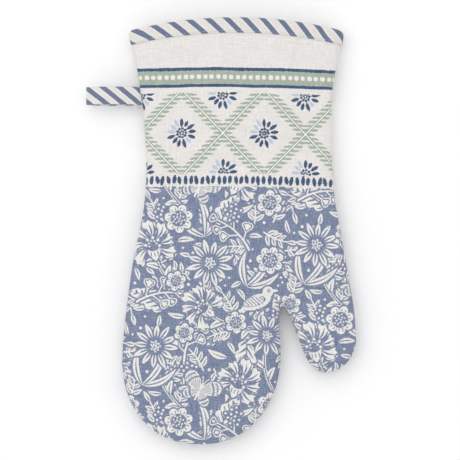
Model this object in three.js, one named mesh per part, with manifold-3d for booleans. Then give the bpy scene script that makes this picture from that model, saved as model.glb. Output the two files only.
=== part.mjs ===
// Padded oven mitt with a bound cuff and a hanging loop.
// Millimetres, +X towards the thumb side, +Y towards the cuff, +Z up.
// The mitt lies flat on its back panel, with its palm side up.
import * as THREE from 'three';
import { mergeVertices } from 'three/addons/utils/BufferGeometryUtils.js';
import Module from 'manifold-3d';

const wasm = await Module();
wasm.setup();

// ---- driving dimensions -------------------------------------------------
const HALF_HEIGHT = 12;          // half of the mitt's height, and its edge radius
const MID_Z = HALF_HEIGHT;       // height of the side seam above the table
const SHELL = 0.8;               // printed outer cloth
const WADDING = 4.3;             // padding against heat
const LINING = 0.6;              // lining cloth
const GAP = 0.3;                 // clearance between neighbouring layers
const BINDING = 0.8;             // bias tape round the mouth
const BINDING_WIDTH = 12;        // how far the tape reaches down the cuff
const THREAD = 0.6;              // topstitching thread

const CUFF_LEFT = [-71.2, 148.4];    // where the outline's two sides pass the cuff's corners
const CUFF_RIGHT = [94.9, 152.3];
const CUFF_ARC = [[-71.5, 154.8], [10.7, 164.96], [94.9, 154.3]];   // fixes the arched edge
const CUFF_OVERRUN = 188;            // the outline runs on to here, and is cut at the cuff
const FINGER_END = [-16, -165];
const CROTCH = [47.7, -58];          // top of the notch between the fingers and the thumb
const THUMB_TIP = [80, -109.4];

const FOLD_Y = -80;                  // the fingers fold along this line
const THUMB_FOLD_ANGLE = 45.7;       // degrees from +X of the line that the thumb folds along
const THUMB_FOLD_SHIFT = 3;          // that line's distance from the notch, towards the thumb

const LOOP_WIDTH = 13.7;
const LOOP_CENTRE_Y = 104.5;
const LOOP_END_X = -104.3;
const LOOP_TAPE = 0.7;
const LOOP_HALF_OPENING = 3.6;       // half of the loop's outer height, where it stands widest
const LOOP_BULGE = 9;                // distance from the loop's end to where it stands widest
const LOOP_CLOSED = 6;               // stretch by the seam where the tape's two sides are joined
const LOOP_SEAM_GAP = 1;             // room for the loop to swing at the seam
const LOOP_TAIL = 11;                // length of the loop's ends inside the seam

const EDGE_STEPS = 3;                // facets in a quarter of the rounded edge
const STRAIGHT_STEP = 18;            // spacing of outline points along the sides
const FINGER_STEP = 11.7;            // round the finger end
const THUMB_STEP = 9;                // round the thumb's tip
const NOTCH_STEP = 4.5;              // and round the notch
const CUFF_ARC_SPAN = 50;            // degrees of the cuff's circle that the cutting blocks follow
const CUFF_ARC_STEPS = 24;
const REACH = 300;                   // larger than the mitt: size of the cutting blocks

// Depths below the outer surface at which each layer starts and ends.
const depth = {
  shell: [0, SHELL],
  wadding: [SHELL + GAP, SHELL + GAP + WADDING],
  lining: [SHELL + WADDING + 2 * GAP, SHELL + WADDING + LINING + 2 * GAP],
};
const boundShell = [BINDING + GAP, BINDING + GAP + SHELL];
const bindingInside = [depth.lining[1] + GAP, depth.lining[1] + GAP + BINDING];

// ---- outline ------------------------------------------------------------
const point = ([x, y]) => new THREE.Vector2(x, y);
const spline = (...points) => new THREE.SplineCurve(points.map(point));
const bezier = (...points) => new THREE.CubicBezierCurve(...points.map(point));

// Anticlockwise, from the cuff's left side down, round the fingers and the thumb, and up.
const outlineCurves = [
  [spline([-80, CUFF_OVERRUN], CUFF_LEFT, [-63.4, 110.6], [-58.9, 60], [-60.6, 20],
    [-69.7, -27], [-76, -75], [-77.6, -97]), STRAIGHT_STEP],
  [bezier([-77.6, -97], [-77.6, -139], [-54, -165], FINGER_END), FINGER_STEP],
  [bezier(FINGER_END, [22, -165], [47, -134], [46.1, -91]), FINGER_STEP],
  [spline([46.1, -91], [44.7, -72], [45.2, -62], CROTCH, [50.6, -61.5], [54.6, -71],
    [61, -88]), NOTCH_STEP],
  [bezier([61, -88], [64.5, -98], [70, THUMB_TIP[1]], THUMB_TIP), THUMB_STEP],
  [bezier(THUMB_TIP, [92, THUMB_TIP[1]], [104.3, -98], [104.3, -82]), THUMB_STEP],
  [spline([104.3, -82], [102.8, -61.4], [98.9, -36.2], [93.4, -4.6], [87.6, 28],
    [85.5, 70], [86.2, 110.6], CUFF_RIGHT, [103, CUFF_OVERRUN]), STRAIGHT_STEP],
];

function sampleOutline() {
  const points = [];
  for (const [curve, step] of outlineCurves) {
    const count = Math.round(curve.getLength() / step);
    points.push(...curve.getSpacedPoints(count).slice(0, -1));
  }
  const [lastCurve] = outlineCurves.at(-1);
  points.push(lastCurve.getPoint(1));
  return points;
}

const outline = sampleOutline();

function offsetInward(points, distance) {
  return points.map((here, i) => {
    const before = points[(i + points.length - 1) % points.length];
    const after = points[(i + 1) % points.length];
    const inEdge = here.clone().sub(before).normalize();
    const outEdge = after.clone().sub(here).normalize();
    const along = inEdge.clone().add(outEdge).normalize();
    const stretch = 1 / Math.max(0.5, along.dot(outEdge));
    return new THREE.Vector2(-along.y, along.x).multiplyScalar(distance * stretch).add(here);
  });
}

// ---- solids -------------------------------------------------------------
function toSolid(geometry) {
  const bare = geometry.index ? geometry.clone() : geometry;
  bare.deleteAttribute('normal');
  bare.deleteAttribute('uv');
  const merged = mergeVertices(bare, 1e-4);
  const vertProperties = new Float32Array(merged.attributes.position.array);
  const triVerts = new Uint32Array(merged.index.array);
  return new wasm.Manifold(new wasm.Mesh({ numProp: 3, vertProperties, triVerts }));
}

function prism(points, bottom = -REACH, top = REACH) {
  const shape = new THREE.Shape(points.map((p) => (p.isVector2 ? p : point(p))));
  const geometry = new THREE.ExtrudeGeometry(shape, { depth: top - bottom, bevelEnabled: false });
  geometry.translate(0, 0, bottom);
  return toSolid(geometry);
}

// The mitt's outer form, shrunk by a depth: its outline with a half-round edge.
function pillow(depthIn) {
  const radius = HALF_HEIGHT - depthIn;
  const positions = [];
  const count = outline.length;
  const rings = 2 * EDGE_STEPS + 1;
  for (let ring = 0; ring < rings; ring += 1) {
    const angle = ((ring - EDGE_STEPS) / EDGE_STEPS) * (Math.PI / 2);
    const inward = HALF_HEIGHT - radius * Math.cos(angle);
    for (const p of offsetInward(outline, inward)) {
      positions.push(p.x, p.y, MID_Z + radius * Math.sin(angle));
    }
  }
  const index = [];
  for (let ring = 0; ring < rings - 1; ring += 1) {
    for (let i = 0; i < count; i += 1) {
      const a = ring * count + i;
      const b = ring * count + ((i + 1) % count);
      index.push(a, b, b + count, a, b + count, a + count);
    }
  }
  const capRing = offsetInward(outline, HALF_HEIGHT);
  const topStart = (rings - 1) * count;
  for (const [a, b, c] of THREE.ShapeUtils.triangulateShape(capRing, [])) {
    index.push(c, b, a);
    index.push(topStart + a, topStart + b, topStart + c);
  }
  const geometry = new THREE.BufferGeometry();
  geometry.setAttribute('position', new THREE.Float32BufferAttribute(positions, 3));
  geometry.setIndex(index);
  return toSolid(geometry);
}

const layerBetween = (outer, inner) => pillow(outer).subtract(pillow(inner));

// The cuff's edge is an arc of a circle through its three points.
function circleThrough([ax, ay], [bx, by], [cx, cy]) {
  const twiceArea = 2 * (ax * (by - cy) + bx * (cy - ay) + cx * (ay - by));
  const [a2, b2, c2] = [ax * ax + ay * ay, bx * bx + by * by, cx * cx + cy * cy];
  const x = (a2 * (by - cy) + b2 * (cy - ay) + c2 * (ay - by)) / twiceArea;
  const y = (a2 * (cx - bx) + b2 * (ax - cx) + c2 * (bx - ax)) / twiceArea;
  return { x, y, radius: Math.hypot(ax - x, ay - y) };
}

const cuff = circleThrough(...CUFF_ARC);

// Everything on the hand's side of a line that runs a given distance below the cuff's edge.
function belowCuff(distance) {
  const radius = cuff.radius - distance;
  const half = THREE.MathUtils.degToRad(CUFF_ARC_SPAN) / 2;
  const arc = new THREE.EllipseCurve(cuff.x, cuff.y, radius, radius,
    Math.PI / 2 - half, Math.PI / 2 + half).getPoints(CUFF_ARC_STEPS);
  return prism([...arc, [arc.at(-1).x, -REACH], [arc[0].x, -REACH]]);
}

const cuffBand = (from, to) => belowCuff(from).subtract(belowCuff(to));

const everywhere = [[-REACH, -REACH], [REACH, -REACH], [REACH, REACH], [-REACH, REACH]];
const frontHalf = prism(everywhere, MID_Z + GAP / 2, REACH);
const backHalf = prism(everywhere, -REACH, MID_Z - GAP / 2);

// ---- fold lines ---------------------------------------------------------
const foldAngle = THREE.MathUtils.degToRad(THUMB_FOLD_ANGLE);
const foldAlong = new THREE.Vector2(Math.cos(foldAngle), Math.sin(foldAngle));
const foldAcross = new THREE.Vector2(foldAlong.y, -foldAlong.x);
const notchX = CROTCH[0] + 0.4;      // this line passes between the fingers and the thumb
const fingerBlock = (top) => prism([[-REACH, -REACH], [notchX, -REACH], [notchX, top],
  [-REACH, top]]);
const leftOfNotch = fingerBlock(CROTCH[1] + 30);

// The fingers' and the thumb's share of the mitt, set back from the fold line by a margin.
const fingerZone = (margin) => fingerBlock(FOLD_Y - margin);

function thumbZone(margin) {
  const start = point(CROTCH).addScaledVector(foldAcross, THUMB_FOLD_SHIFT + margin);
  const corner = (along, across) => start.clone()
    .addScaledVector(foldAlong, along).addScaledVector(foldAcross, across);
  const halfPlane = prism([corner(-REACH, 0), corner(-REACH, REACH), corner(REACH, REACH),
    corner(REACH, 0)]);
  return halfPlane.subtract(leftOfNotch);
}

// ---- layers -------------------------------------------------------------
// Under the binding the shell steps in by the tape's thickness and presses the wadding thinner.
const layersEnd = BINDING + GAP;
const threadBand = [BINDING_WIDTH + GAP, BINDING_WIDTH + GAP + THREAD];
const stepEnd = threadBand[1] + GAP;
const openFrom = stepEnd + 2 * SHELL;

function shellLayer() {
  const open = layerBetween(...depth.shell).intersect(belowCuff(stepEnd));
  const step = layerBetween(depth.shell[0], boundShell[1])
    .intersect(cuffBand(stepEnd, openFrom));
  const bound = layerBetween(...boundShell).intersect(cuffBand(layersEnd, openFrom));
  return open.add(step).add(bound);
}

function waddingLayer() {
  const [start, end] = depth.wadding;
  const fullFrom = openFrom + GAP;
  const open = layerBetween(start, end).intersect(belowCuff(fullFrom));
  const squeezed = layerBetween(boundShell[1] + GAP, end)
    .intersect(cuffBand(layersEnd, fullFrom + SHELL));
  return open.add(squeezed);
}

function liningLayer() {
  return layerBetween(...depth.lining).intersect(belowCuff(layersEnd));
}

// ---- hanging loop -------------------------------------------------------
function seamPointAt(y) {
  const side = outlineCurves[0][0].getPoints(400);
  return side.reduce((best, p) => (Math.abs(p.y - y) < Math.abs(best.y - y) ? p : best));
}

const seamHigh = seamPointAt(LOOP_CENTRE_Y + LOOP_WIDTH / 2);
const seamLow = seamPointAt(LOOP_CENTRE_Y - LOOP_WIDTH / 2);
const seamAlong = seamHigh.clone().sub(seamLow).normalize();
const seamOut = new THREE.Vector2(-seamAlong.y, seamAlong.x);

// Everything beyond a line parallel to the side seam, a given distance outside it.
function outsideSeam(distance) {
  const near = seamLow.clone().addScaledVector(seamOut, distance);
  const corner = (along, out) => near.clone()
    .addScaledVector(seamAlong, along).addScaledVector(seamOut, out);
  return prism([corner(-REACH, 0), corner(REACH, 0), corner(REACH, REACH), corner(-REACH, REACH)]);
}

// Stands the loop's side view, drawn as X and Z, across the tape's width.
function acrossTape(shape) {
  const geometry = new THREE.ExtrudeGeometry(shape, {
    depth: LOOP_WIDTH, bevelEnabled: false, curveSegments: 8,
  });
  geometry.rotateX(Math.PI / 2);
  geometry.translate(0, LOOP_CENTRE_Y + LOOP_WIDTH / 2, MID_Z);
  return toSolid(geometry);
}

function teardrop(rootX, endX, halfRoot, halfOpening) {
  const shape = new THREE.Shape();
  const bulgeX = endX + LOOP_BULGE;
  const taper = (rootX - bulgeX) / 2;
  const nose = halfOpening * 0.6;
  shape.moveTo(rootX, -halfRoot);
  shape.lineTo(rootX, halfRoot);
  shape.bezierCurveTo(rootX - taper, halfRoot, bulgeX + taper, halfOpening, bulgeX, halfOpening);
  shape.bezierCurveTo(endX + nose, halfOpening, endX, nose, endX, 0);
  shape.bezierCurveTo(endX, -nose, endX + nose, -halfOpening, bulgeX, -halfOpening);
  shape.bezierCurveTo(bulgeX + taper, -halfOpening, rootX - taper, -halfRoot, rootX, -halfRoot);
  return shape;
}

function hangingLoop() {
  const rootX = Math.max(seamHigh.x, seamLow.x);
  const outer = acrossTape(teardrop(rootX, LOOP_END_X, LOOP_TAPE, LOOP_HALF_OPENING));
  const inner = acrossTape(teardrop(rootX - LOOP_CLOSED, LOOP_END_X + LOOP_TAPE, GAP / 2,
    LOOP_HALF_OPENING - LOOP_TAPE));
  return outer.subtract(inner).intersect(outsideSeam(LOOP_SEAM_GAP));
}

function loopTailBlock(margin) {
  const half = LOOP_TAPE + margin;
  const low = LOOP_CENTRE_Y - LOOP_WIDTH / 2 - margin;
  const high = LOOP_CENTRE_Y + LOOP_WIDTH / 2 + margin;
  const end = seamLow.x + LOOP_TAIL + margin;
  return prism([[LOOP_END_X, low], [end, low], [end, high], [LOOP_END_X, high]],
    MID_Z - half, MID_Z + half);
}

const loopTail = loopTailBlock(0).subtract(outsideSeam(-GAP));
const tailSlot = loopTailBlock(GAP);

// ---- cuff binding -------------------------------------------------------
function cuffBinding() {
  const whole = layerBetween(0, bindingInside[1]).intersect(cuffBand(0, BINDING_WIDTH));
  const slot = layerBetween(BINDING, bindingInside[0]).intersect(belowCuff(BINDING));
  return whole.subtract(slot);
}

function bindingThread() {
  return layerBetween(0, THREAD).intersect(cuffBand(...threadBand));
}

// ---- materials and scene graph ------------------------------------------
function cloth(name, colour, roughness) {
  return new THREE.MeshStandardMaterial({ name, color: colour, roughness, metalness: 0 });
}

const materials = {
  print: cloth('printed_cotton', 0xc9cdd6, 0.9),
  wadding: cloth('wadding', 0xf1efe9, 1),
  lining: cloth('lining', 0xe9e4da, 0.92),
  binding: cloth('striped_tape', 0xcfd3dc, 0.9),
  thread: cloth('thread', 0xece7dc, 0.8),
};

function toMesh(name, solid, material) {
  const mesh = solid.getMesh();
  const geometry = new THREE.BufferGeometry();
  geometry.setAttribute('position', new THREE.Float32BufferAttribute(mesh.vertProperties, 3));
  geometry.setIndex(new THREE.Uint32BufferAttribute(mesh.triVerts, 1));
  geometry.computeVertexNormals();
  const result = new THREE.Mesh(geometry, material);
  result.name = name;
  return result;
}

const palmGroup = new THREE.Group();
const fingersGroup = new THREE.Group();
const thumbGroup = new THREE.Group();
const loopGroup = new THREE.Group();

const layers = [
  ['shell', shellLayer(), materials.print],
  ['wadding', waddingLayer(), materials.wadding],
  ['lining', liningLayer(), materials.lining],
];

for (const [side, half] of [['front', frontHalf], ['back', backHalf]]) {
  for (const [layer, solid, material] of layers) {
    const panel = solid.intersect(half).subtract(tailSlot);
    const palm = panel.subtract(fingerZone(-GAP / 2)).subtract(thumbZone(-GAP / 2));
    palmGroup.add(toMesh(`${side}_${layer}_palm`, palm, material));
    fingersGroup.add(toMesh(`${side}_${layer}_fingers`,
      panel.intersect(fingerZone(GAP / 2)), material));
    thumbGroup.add(toMesh(`${side}_${layer}_thumb`, panel.intersect(thumbZone(GAP / 2)), material));
  }
}

palmGroup.add(toMesh('cuff_binding', cuffBinding(), materials.binding));
palmGroup.add(toMesh('binding_stitching', bindingThread(), materials.thread));
palmGroup.add(toMesh('hanging_loop_tail', loopTail, materials.binding));
loopGroup.add(toMesh('hanging_loop', hangingLoop(), materials.binding));

const ovenMitt = new THREE.Group();
ovenMitt.add(palmGroup, fingersGroup, thumbGroup, loopGroup);

export default ovenMitt;
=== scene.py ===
"""Oven mitt: printed padded cloth with a striped bound cuff and a hanging loop.

Lengths are millimetres until a mesh is made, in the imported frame: +X thumb side, +Y cuff, +Z up.
"""
import math

import bpy
import numpy as np
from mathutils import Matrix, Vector, kdtree
from mathutils.geometry import delaunay_2d_cdt


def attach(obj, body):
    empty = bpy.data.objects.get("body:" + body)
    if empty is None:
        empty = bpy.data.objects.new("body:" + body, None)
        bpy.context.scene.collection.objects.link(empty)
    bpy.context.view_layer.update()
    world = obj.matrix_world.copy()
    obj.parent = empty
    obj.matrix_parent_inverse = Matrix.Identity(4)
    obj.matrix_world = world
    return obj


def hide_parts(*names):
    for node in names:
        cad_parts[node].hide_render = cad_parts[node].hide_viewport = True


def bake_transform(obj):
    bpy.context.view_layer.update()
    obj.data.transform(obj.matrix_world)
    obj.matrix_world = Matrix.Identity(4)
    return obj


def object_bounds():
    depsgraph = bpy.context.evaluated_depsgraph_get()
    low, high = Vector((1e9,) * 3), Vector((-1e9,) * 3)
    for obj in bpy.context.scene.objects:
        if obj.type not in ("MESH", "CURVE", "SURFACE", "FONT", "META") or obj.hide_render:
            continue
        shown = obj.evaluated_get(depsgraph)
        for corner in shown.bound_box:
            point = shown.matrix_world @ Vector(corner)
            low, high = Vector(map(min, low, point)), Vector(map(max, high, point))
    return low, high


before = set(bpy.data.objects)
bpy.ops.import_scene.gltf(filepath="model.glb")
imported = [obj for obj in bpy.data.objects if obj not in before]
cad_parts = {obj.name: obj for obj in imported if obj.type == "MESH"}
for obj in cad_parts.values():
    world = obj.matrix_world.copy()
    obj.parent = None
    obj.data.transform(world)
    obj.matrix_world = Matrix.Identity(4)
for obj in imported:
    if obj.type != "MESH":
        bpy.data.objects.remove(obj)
CAD_LOW, CAD_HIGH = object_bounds()

MM = 0.001

# ---- form of the mitt -------------------------------------------------------
MID_Z = CAD_HIGH.z / MM / 2     # height of the side seam
EDGE = 12.0                     # how far in from the outline the edge is rounded
EDGE_RISE = 7.6                 # half of the mitt's height where that rounding ends
CROWN = 4.4                     # and how much more the middle stands up
CROWN_REACH = {1: 44.0, -1: 26.0}   # the back lies flatter than the front
SEAM_GROOVE = 1.2               # depth of the valley along the side seam
CUFF_EDGE = 2.4                 # the cloth layers end this far below the cuff's edge
SQUEEZE = 0.62                  # thickness of the layers under the binding, as a share
BINDING_INSET = 1.2             # how far the binding draws the outer cloth in
BINDING_WIDTH = 12.0
LOOP_Y, LOOP_WIDTH = 104.5, 13.7
LOOP_TIP_X, LOOP_TAIL_X, LOOP_ROOT_X = -104.2, -53.0, -64.5
# The tape's thickness, half the height of the loop where it is highest, and how far from
# the tip that is.
LOOP_TAPE, LOOP_RISE, LOOP_BULGE = 0.7, 3.2, 9.0

PUCKER = 0.17                   # height of the small puckers along the side seam
UNEVEN = 0.32                   # and of the slow unevenness of the padding
LOOP_LUMP = 0.85                # how far the cloth stands up over the loop's ends
SIDE_GAP = 0.05                 # between the front and the back at the side seam, halved

# Depths of each layer's two faces.
LAYERS = {"shell": (0.0, 0.7), "wadding": (0.95, 5.4), "lining": (5.65, 6.2)}

# The cuff's edge is an arc through three points. The other two are on the side seams.
CUFF_POINTS = ((-71.5, 154.8), (10.7, 164.96), (94.9, 154.3))
CUFF_LEFT, CUFF_RIGHT = (-71.2, 148.4), (94.9, 152.3)
NOTCH = np.array((47.7, -58.0))
THUMB_FOLD = math.radians(45.7)
FOLD_ALONG = np.array((math.cos(THUMB_FOLD), math.sin(THUMB_FOLD)))
FOLD_ACROSS = np.array((FOLD_ALONG[1], -FOLD_ALONG[0]))

COARSE = 5.8                    # spacing of the simulated cloth
LEVELS = 3                      # each level halves that spacing for the visible cloth
SAMPLE = 0.25                   # spacing of the outline's own points


# ---- outline ----------------------------------------------------------------
def norms(vectors):
    return np.hypot(*vectors.T)


def spline(points, per=60):
    """Uniform Catmull-Rom through the points, without its last point."""
    p = np.array([points[0], *points, points[-1]], float)
    t = np.linspace(0, 1, per, endpoint=False)[:, None]
    runs = []
    for i in range(1, len(p) - 2):
        v0, v1 = (p[i + 1] - p[i - 1]) / 2, (p[i + 2] - p[i]) / 2
        cubic = 2 * p[i] - 2 * p[i + 1] + v0 + v1
        square = 3 * p[i + 1] - 3 * p[i] - 2 * v0 - v1
        runs.append(((cubic * t + square) * t + v0) * t + p[i])
    return np.vstack(runs)


def bezier(a, b, c, d, per=160):
    a, b, c, d = (np.array(p, float) for p in (a, b, c, d))
    t = np.linspace(0, 1, per, endpoint=False)[:, None]
    return a * (1 - t) ** 3 + 3 * b * t * (1 - t) ** 2 + 3 * c * t ** 2 * (1 - t) + d * t ** 3


def run_along(points):
    """How far along a line each of its points lies."""
    return np.r_[0, np.cumsum(norms(np.diff(points, axis=0)))]


def respace(points, step):
    length = run_along(points)
    at = np.linspace(0, length[-1], round(length[-1] / step) + 1)
    return np.column_stack([np.interp(at, length, column) for column in points.T])


# Anticlockwise from above the cuff on the loop's side, round the fingers and the thumb.
OUTLINE = respace(np.vstack([
    spline([(-80, 188), CUFF_LEFT, (-63.4, 110.6), (-58.9, 60), (-60.6, 20), (-69.7, -27),
            (-76, -75), (-77.6, -97)]),
    bezier((-77.6, -97), (-77.6, -139), (-54, -165), (-16, -165)),
    bezier((-16, -165), (22, -165), (47, -134), (46.1, -91)),
    spline([(46.1, -91), (44.7, -72), (45.2, -62), NOTCH, (50.6, -61.5), (54.6, -71), (61, -88)]),
    bezier((61, -88), (64.5, -98), (70, -109.4), (80, -109.4)),
    bezier((80, -109.4), (92, -109.4), (104.3, -98), (104.3, -82)),
    spline([(104.3, -82), (102.8, -61.4), (98.9, -36.2), (93.4, -4.6), (87.6, 28), (85.5, 70),
            (86.2, 110.6), CUFF_RIGHT, (103, 188)]),
]), SAMPLE)


def inward_normals(points, reach=6):
    ahead = np.vstack([points[reach:], np.repeat(points[-1:], reach, 0)])
    behind = np.vstack([np.repeat(points[:1], reach, 0), points[:-reach]])
    along = ahead - behind
    along /= norms(along)[:, None]
    return np.column_stack([-along[:, 1], along[:, 0]])


def tree_of(points):
    tree = kdtree.KDTree(len(points))
    for number, (x, y) in enumerate(points):
        tree.insert((x, y, 0), number)
    tree.balance()
    return tree


def nearest_in(tree, points):
    """The number of the nearest of a tree's points, and the distance to it, for each point."""
    found = [tree.find((x, y, 0)) for x, y in points]
    return np.array([f[1] for f in found]), np.array([f[2] for f in found])


OUTLINE_INWARD = inward_normals(OUTLINE)
OUTLINE_TREE = tree_of(OUTLINE)


def circle_through(a, b, c):
    (ax, ay), (bx, by), (cx, cy) = a, b, c
    a2, b2, c2 = ax * ax + ay * ay, bx * bx + by * by, cx * cx + cy * cy
    twice = 2 * (ax * (by - cy) + bx * (cy - ay) + cx * (ay - by))
    x = (a2 * (by - cy) + b2 * (cy - ay) + c2 * (ay - by)) / twice
    y = (a2 * (cx - bx) + b2 * (ax - cx) + c2 * (bx - ax)) / twice
    return np.array((x, y)), math.hypot(ax - x, ay - y)


CUFF_CENTRE, CUFF_RADIUS = circle_through(*CUFF_POINTS)


def below_cuff(points):
    return CUFF_RADIUS - norms(points - CUFF_CENTRE)


def past_thumb_fold(points):
    return (points - NOTCH) @ FOLD_ACROSS


def ramp(x, low, high):
    t = np.clip((x - low) / (high - low), 0, 1)
    return t * t * (3 - 2 * t)


# ---- flat panel mesh ----------------------------------------------------------
def spacing_at(points):
    """Points lie closer round the notch, where the outline turns sharply."""
    return COARSE * (0.5 + 0.5 * ramp(norms(points - NOTCH), 6, 34))


def pick(points):
    """Indices along a dense line, its ends included, at the spacing that its place asks for."""
    steps = norms(np.diff(points, axis=0)) / spacing_at(points[:-1])
    length = np.r_[0, np.cumsum(steps)]
    return np.searchsorted(length, np.linspace(0, length[-1], max(2, round(length[-1]) + 1)) - 1e-9)


def panel_outline():
    """The panel's corner points in order, closed by the cuff's arc."""
    inside = np.flatnonzero(below_cuff(OUTLINE) > CUFF_EDGE)
    side = OUTLINE[inside[0]:inside[-1] + 1]
    notch = np.argmin(norms(side - NOTCH))
    outer = side[notch:]
    inner_side = outer[:, 0] < 70
    crossing = notch + np.argmin(np.abs(past_thumb_fold(outer)) + 99 * inner_side)
    keys = [0, notch, crossing, len(side) - 1]
    loop = [side[a:b + 1][pick(side[a:b + 1])][:-1] for a, b in zip(keys, keys[1:])]
    angles = [math.atan2(*(p - CUFF_CENTRE)[::-1]) for p in (side[-1], side[0])]
    count = round(abs(angles[1] - angles[0]) * CUFF_RADIUS / COARSE)
    arc = np.linspace(*angles, count + 1)[:-1]
    radius = CUFF_RADIUS - CUFF_EDGE
    loop.append(CUFF_CENTRE + radius * np.column_stack([np.cos(arc), np.sin(arc)]))
    return np.vstack(loop), side[notch], side[crossing]


def doubled_areas(points, tris):
    """Twice each triangle's area, negative where it runs clockwise."""
    a, b, c = (points[tris[:, k]] for k in range(3))
    return (b - a)[:, 0] * (c - a)[:, 1] - (b - a)[:, 1] * (c - a)[:, 0]


def panel_mesh():
    """Coarse triangles over the whole panel, with edges along the thumb's fold line."""
    loop, start, end = panel_outline()
    count = round(math.hypot(*(end - start)) / COARSE)
    fold = start + (end - start) * np.linspace(0, 1, count + 1)[1:-1, None]
    xs = np.arange(-90, 115, COARSE)
    ys = np.arange(-175, 175, COARSE * math.sqrt(3) / 2)
    grid = np.array([(x + COARSE / 2 * (row % 2), y) for row, y in enumerate(ys) for x in xs])
    _, gap = nearest_in(tree_of(np.vstack([OUTLINE[::8], loop, fold])), grid)
    grid = grid[(gap > 0.62 * COARSE) & (below_cuff(grid) > CUFF_EDGE + 0.6 * COARSE)]
    points = np.vstack([loop, fold, grid])
    n = len(loop)
    edges = [(i, (i + 1) % n) for i in range(n)]
    first, last = (int(np.argmin(norms(loop - p))) for p in (start, end))
    chain = [first, *range(n, n + len(fold)), last]
    edges += list(zip(chain, chain[1:]))
    verts, _, faces, *_ = delaunay_2d_cdt([Vector(p) for p in points], edges, [], 1, 1e-6)
    points, tris = np.array([tuple(v) for v in verts]), np.array(faces)
    clockwise = doubled_areas(points, tris) < 0
    tris[clockwise] = tris[clockwise][:, ::-1]
    middle = points[tris].mean(1)
    return points, tris, (past_thumb_fold(middle) > 0) & (middle[:, 0] > NOTCH[0])


def unique_edges(tris):
    pairs = np.sort(tris[:, [0, 1, 1, 2, 2, 0]].reshape(-1, 2), axis=1)
    key = pairs[:, 0].astype(np.int64) * (tris.max() + 1) + pairs[:, 1]
    _, first, inverse, count = np.unique(key, return_index=True, return_inverse=True,
                                         return_counts=True)
    return pairs[first], inverse, count


def halve(values, tris, is_thumb):
    """Splits each triangle in four. New points come last, so the old ones keep their numbers."""
    edges, inverse, _ = unique_edges(tris)
    middle = inverse.reshape(-1, 3) + len(values)
    a, b, c = tris.T
    ab, bc, ca = middle.T
    parts = [(a, ab, ca), (ab, b, bc), (ca, bc, c), (ab, bc, ca)]
    new_tris = np.stack([np.stack(part, 1) for part in parts], 1).reshape(-1, 3)
    return np.vstack([values, values[edges].mean(1)]), new_tris, np.repeat(is_thumb, 4)


def relax(values, tris, times, share=0.5):
    """Smooths values over the mesh."""
    edges, _, _ = unique_edges(tris)
    ends = np.r_[edges[:, 0], edges[:, 1]]
    others = np.r_[edges[:, 1], edges[:, 0]]
    degree = np.maximum(np.bincount(ends, minlength=len(values)), 1)[:, None]
    for _ in range(times):
        total = np.column_stack([np.bincount(ends, column[others], len(values)) for column in values.T])
        values = values + share * (total / degree - values)
    return values


def rim_loop(tris):
    """The numbers of a piece's edge points in order, from its lowest number."""
    directed = tris[:, [0, 1, 1, 2, 2, 0]].reshape(-1, 2)
    _, inverse, count = unique_edges(tris)
    follows = dict(map(tuple, directed[count[inverse] == 1]))
    loop = [min(follows)]
    while follows[loop[-1]] != loop[0]:
        loop.append(follows[loop[-1]])
    return np.array(loop)


class Panel:
    """Points of the flat panel, with what the mitt's form needs to know about each."""

    def __init__(self, points, tris=None, is_thumb=None):
        self.xy, self.tris, self.is_thumb = points[:, :2].copy(), tris, is_thumb
        self.shift = {1: points[:, 2:5], -1: points[:, 5:8]}
        if tris is not None:
            self.snap_rim()
        self.nearest, self.edge = nearest_in(OUTLINE_TREE, self.xy)
        offset = self.xy - OUTLINE[self.nearest]
        straight = np.maximum((offset * OUTLINE_INWARD[self.nearest]).sum(1), 0)
        self.edge = np.where(self.edge < 2, straight, self.edge)
        away = offset / np.maximum(self.edge, 1e-6)[:, None]
        share = ramp(self.edge, 1.5, 3)[:, None]
        self.inward = away * share + OUTLINE_INWARD[self.nearest] * (1 - share)
        self.inward /= norms(self.inward)[:, None]
        self.below = below_cuff(self.xy)

    def snap_rim(self):
        """Sets the edge points exactly on the outline or on the cuff's arc."""
        edges, _, count = unique_edges(self.tris)
        rim = np.unique(edges[count == 1])
        at_cuff = below_cuff(self.xy[rim]) < CUFF_EDGE + 0.35
        outward = self.xy[rim] - CUFF_CENTRE
        on_arc = CUFF_CENTRE + outward * ((CUFF_RADIUS - CUFF_EDGE) / norms(outward))[:, None]
        on_outline = OUTLINE[nearest_in(OUTLINE_TREE, self.xy[rim])[0]]
        self.xy[rim] = np.where(at_cuff[:, None], on_arc, on_outline)

    def part(self, thumb):
        return self.tris[self.is_thumb == thumb]

    def area(self, thumb):
        return doubled_areas(self.xy, self.part(thumb)).sum() / 2


def flat_panel(points, *mesh):
    """A panel without wrinkles."""
    return Panel(np.hstack([points, np.zeros((len(points), 6))]), *mesh)


# ---- form of the cloth ----------------------------------------------------------
def ripple(x, y):
    """Slow unevenness of padded cloth, between about -1 and 1."""
    waves = ((0.071, 0.023, 0.4), (-0.034, 0.058, 2.1), (0.027, -0.091, 4.4), (0.113, 0.067, 1.2),
             (-0.083, 0.121, 5.3))
    return sum(np.sin(a * x + b * y + c) for a, b, c in waves) / 3


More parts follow.
